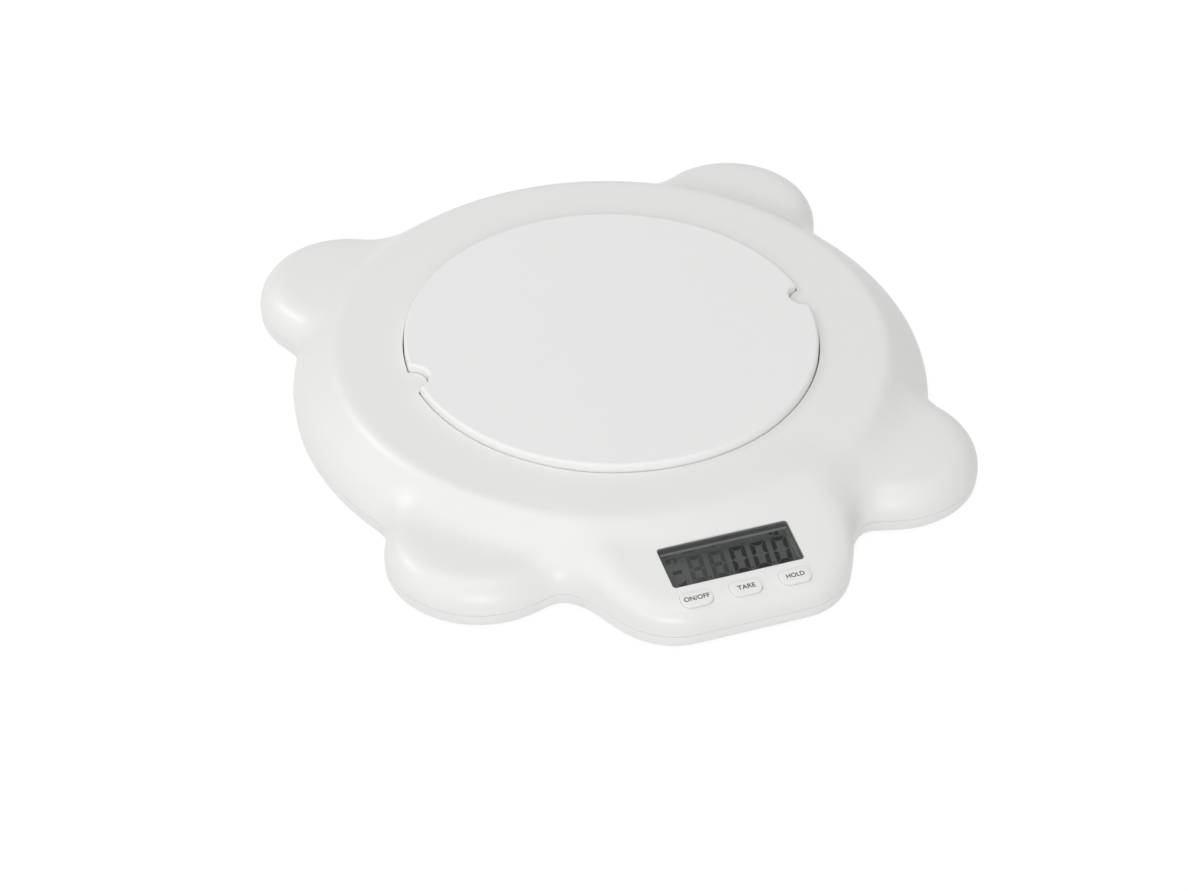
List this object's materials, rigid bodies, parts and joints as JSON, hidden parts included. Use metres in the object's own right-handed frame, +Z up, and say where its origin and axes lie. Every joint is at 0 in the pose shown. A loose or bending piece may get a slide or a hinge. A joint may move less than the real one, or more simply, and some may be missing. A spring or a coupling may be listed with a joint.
{
  "type": "digital baby weighing scale",
  "caption": "Electronic baby scale base: round weighing platform on a load cell in a moulded housing with rounded paws, a sloped display lobe and push buttons.",
  "frame": {"origin": "on the floor, under the middle of the footprint", "axes": "+Z up, display and buttons towards -Y, +X to the right of someone who reads the display"},
  "size_m": [0.308, 0.3414, 0.0367],
  "materials": {
    "white_shell": "semi-gloss moulded ABS",
    "white_satin": "satin moulded ABS",
    "button_white": "satin moulded plastic, grey pad-printed lettering",
    "smoke_lens": "clear acrylic, smoke tinted",
    "lcd_glass": "grey-green liquid crystal panel",
    "cell_aluminium": "milled and anodised aluminium",
    "zinc_plate": "zinc-plated sheet steel",
    "silicone": "white silicone potting",
    "board_green": "solder resist on glass-fibre board",
    "black_resin": "black epoxy drop",
    "elastomer": "layered conductive elastomer",
    "black_plastic": "moulded black nylon",
    "foot_rubber": "grey moulded rubber",
    "contact_nickel": "nickel-plated spring steel",
    "battery_label": "plain printed film over a steel can",
    "grey_cable": "grey PVC sheath",
    "black_cable": "black PVC sheath",
    "screw_steel": "zinc-plated steel"
  },
  "bodies": {
    "housing": {"top_cover": "white_shell", "bottom_cover": "white_shell", "load_cell": "cell_aluminium", "cell_base_spacer": "screw_steel", "strain_gauge_cover": "silicone", "cell_base_bolt_1": "screw_steel", "cell_base_bolt_2": "screw_steel", "cover_screw_1": "screw_steel", "cover_screw_2": "screw_steel", "cover_screw_3": "screw_steel", "cover_screw_4": "screw_steel", "cover_screw_5": "screw_steel", "cover_screw_6": "screw_steel", "front_left_foot": "foot_rubber", "front_right_foot": "foot_rubber", "rear_left_foot": "foot_rubber", "rear_right_foot": "foot_rubber", "battery_1": "battery_label", "battery_2": "battery_label", "battery_spring_1": "contact_nickel", "battery_spring_2": "contact_nickel", "battery_contact_1": "contact_nickel", "battery_contact_2": "contact_nickel", "cell_lead": "grey_cable", "battery_lead": "black_cable", "display_lens": "smoke_lens", "lcd_glass": "lcd_glass", "lcd_frame": "white_satin", "zebra_strip": "elastomer", "circuit_board": "board_green", "controller_chip": "black_resin", "board_screw_1": "screw_steel", "board_screw_2": "screw_steel", "board_screw_3": "screw_steel", "board_screw_4": "screw_steel", "power_switch": "black_plastic", "tare_switch": "black_plastic", "hold_switch": "black_plastic"},
    "weighing_platform": {"platform": "white_satin", "platform_carrier": "zinc_plate", "cell_top_spacer": "screw_steel", "cell_top_bolt_1": "screw_steel", "cell_top_bolt_2": "screw_steel", "platform_screw_1": "screw_steel", "platform_screw_2": "screw_steel", "platform_screw_3": "screw_steel", "platform_screw_4": "screw_steel"},
    "battery_door": {"battery_door": "white_shell"},
    "power_key": {"power_button": "button_white", "power_plunger": "black_plastic"},
    "tare_key": {"tare_button": "button_white", "tare_plunger": "black_plastic"},
    "hold_key": {"hold_button": "button_white", "hold_plunger": "black_plastic"}
  },
  "joints": [
    {"name": "platform_load", "type": "slide", "parent": "housing", "child": "weighing_platform", "axis": [0, 0, -1], "range_m": [0, 0.0005], "stiffness_N_per_m": 100000, "deforming": ["load_cell"]},
    {"name": "power_press", "type": "slide", "parent": "housing", "child": "power_key", "axis": [0, 0.1822, -0.9833], "range_m": [0, 0.0005], "stiffness_N_per_m": 3000},
    {"name": "tare_press", "type": "slide", "parent": "housing", "child": "tare_key", "axis": [0, 0.1822, -0.9833], "range_m": [0, 0.0005], "stiffness_N_per_m": 3000},
    {"name": "hold_press", "type": "slide", "parent": "housing", "child": "hold_key", "axis": [0, 0.1822, -0.9833], "range_m": [0, 0.0005], "stiffness_N_per_m": 3000},
    {"name": "battery_door_hinge", "type": "hinge", "parent": "housing", "child": "battery_door", "pos_m": [0, 0.08444, 0.0036], "axis": [1, 0, 0], "range_deg": [0, 75]}
  ]
}
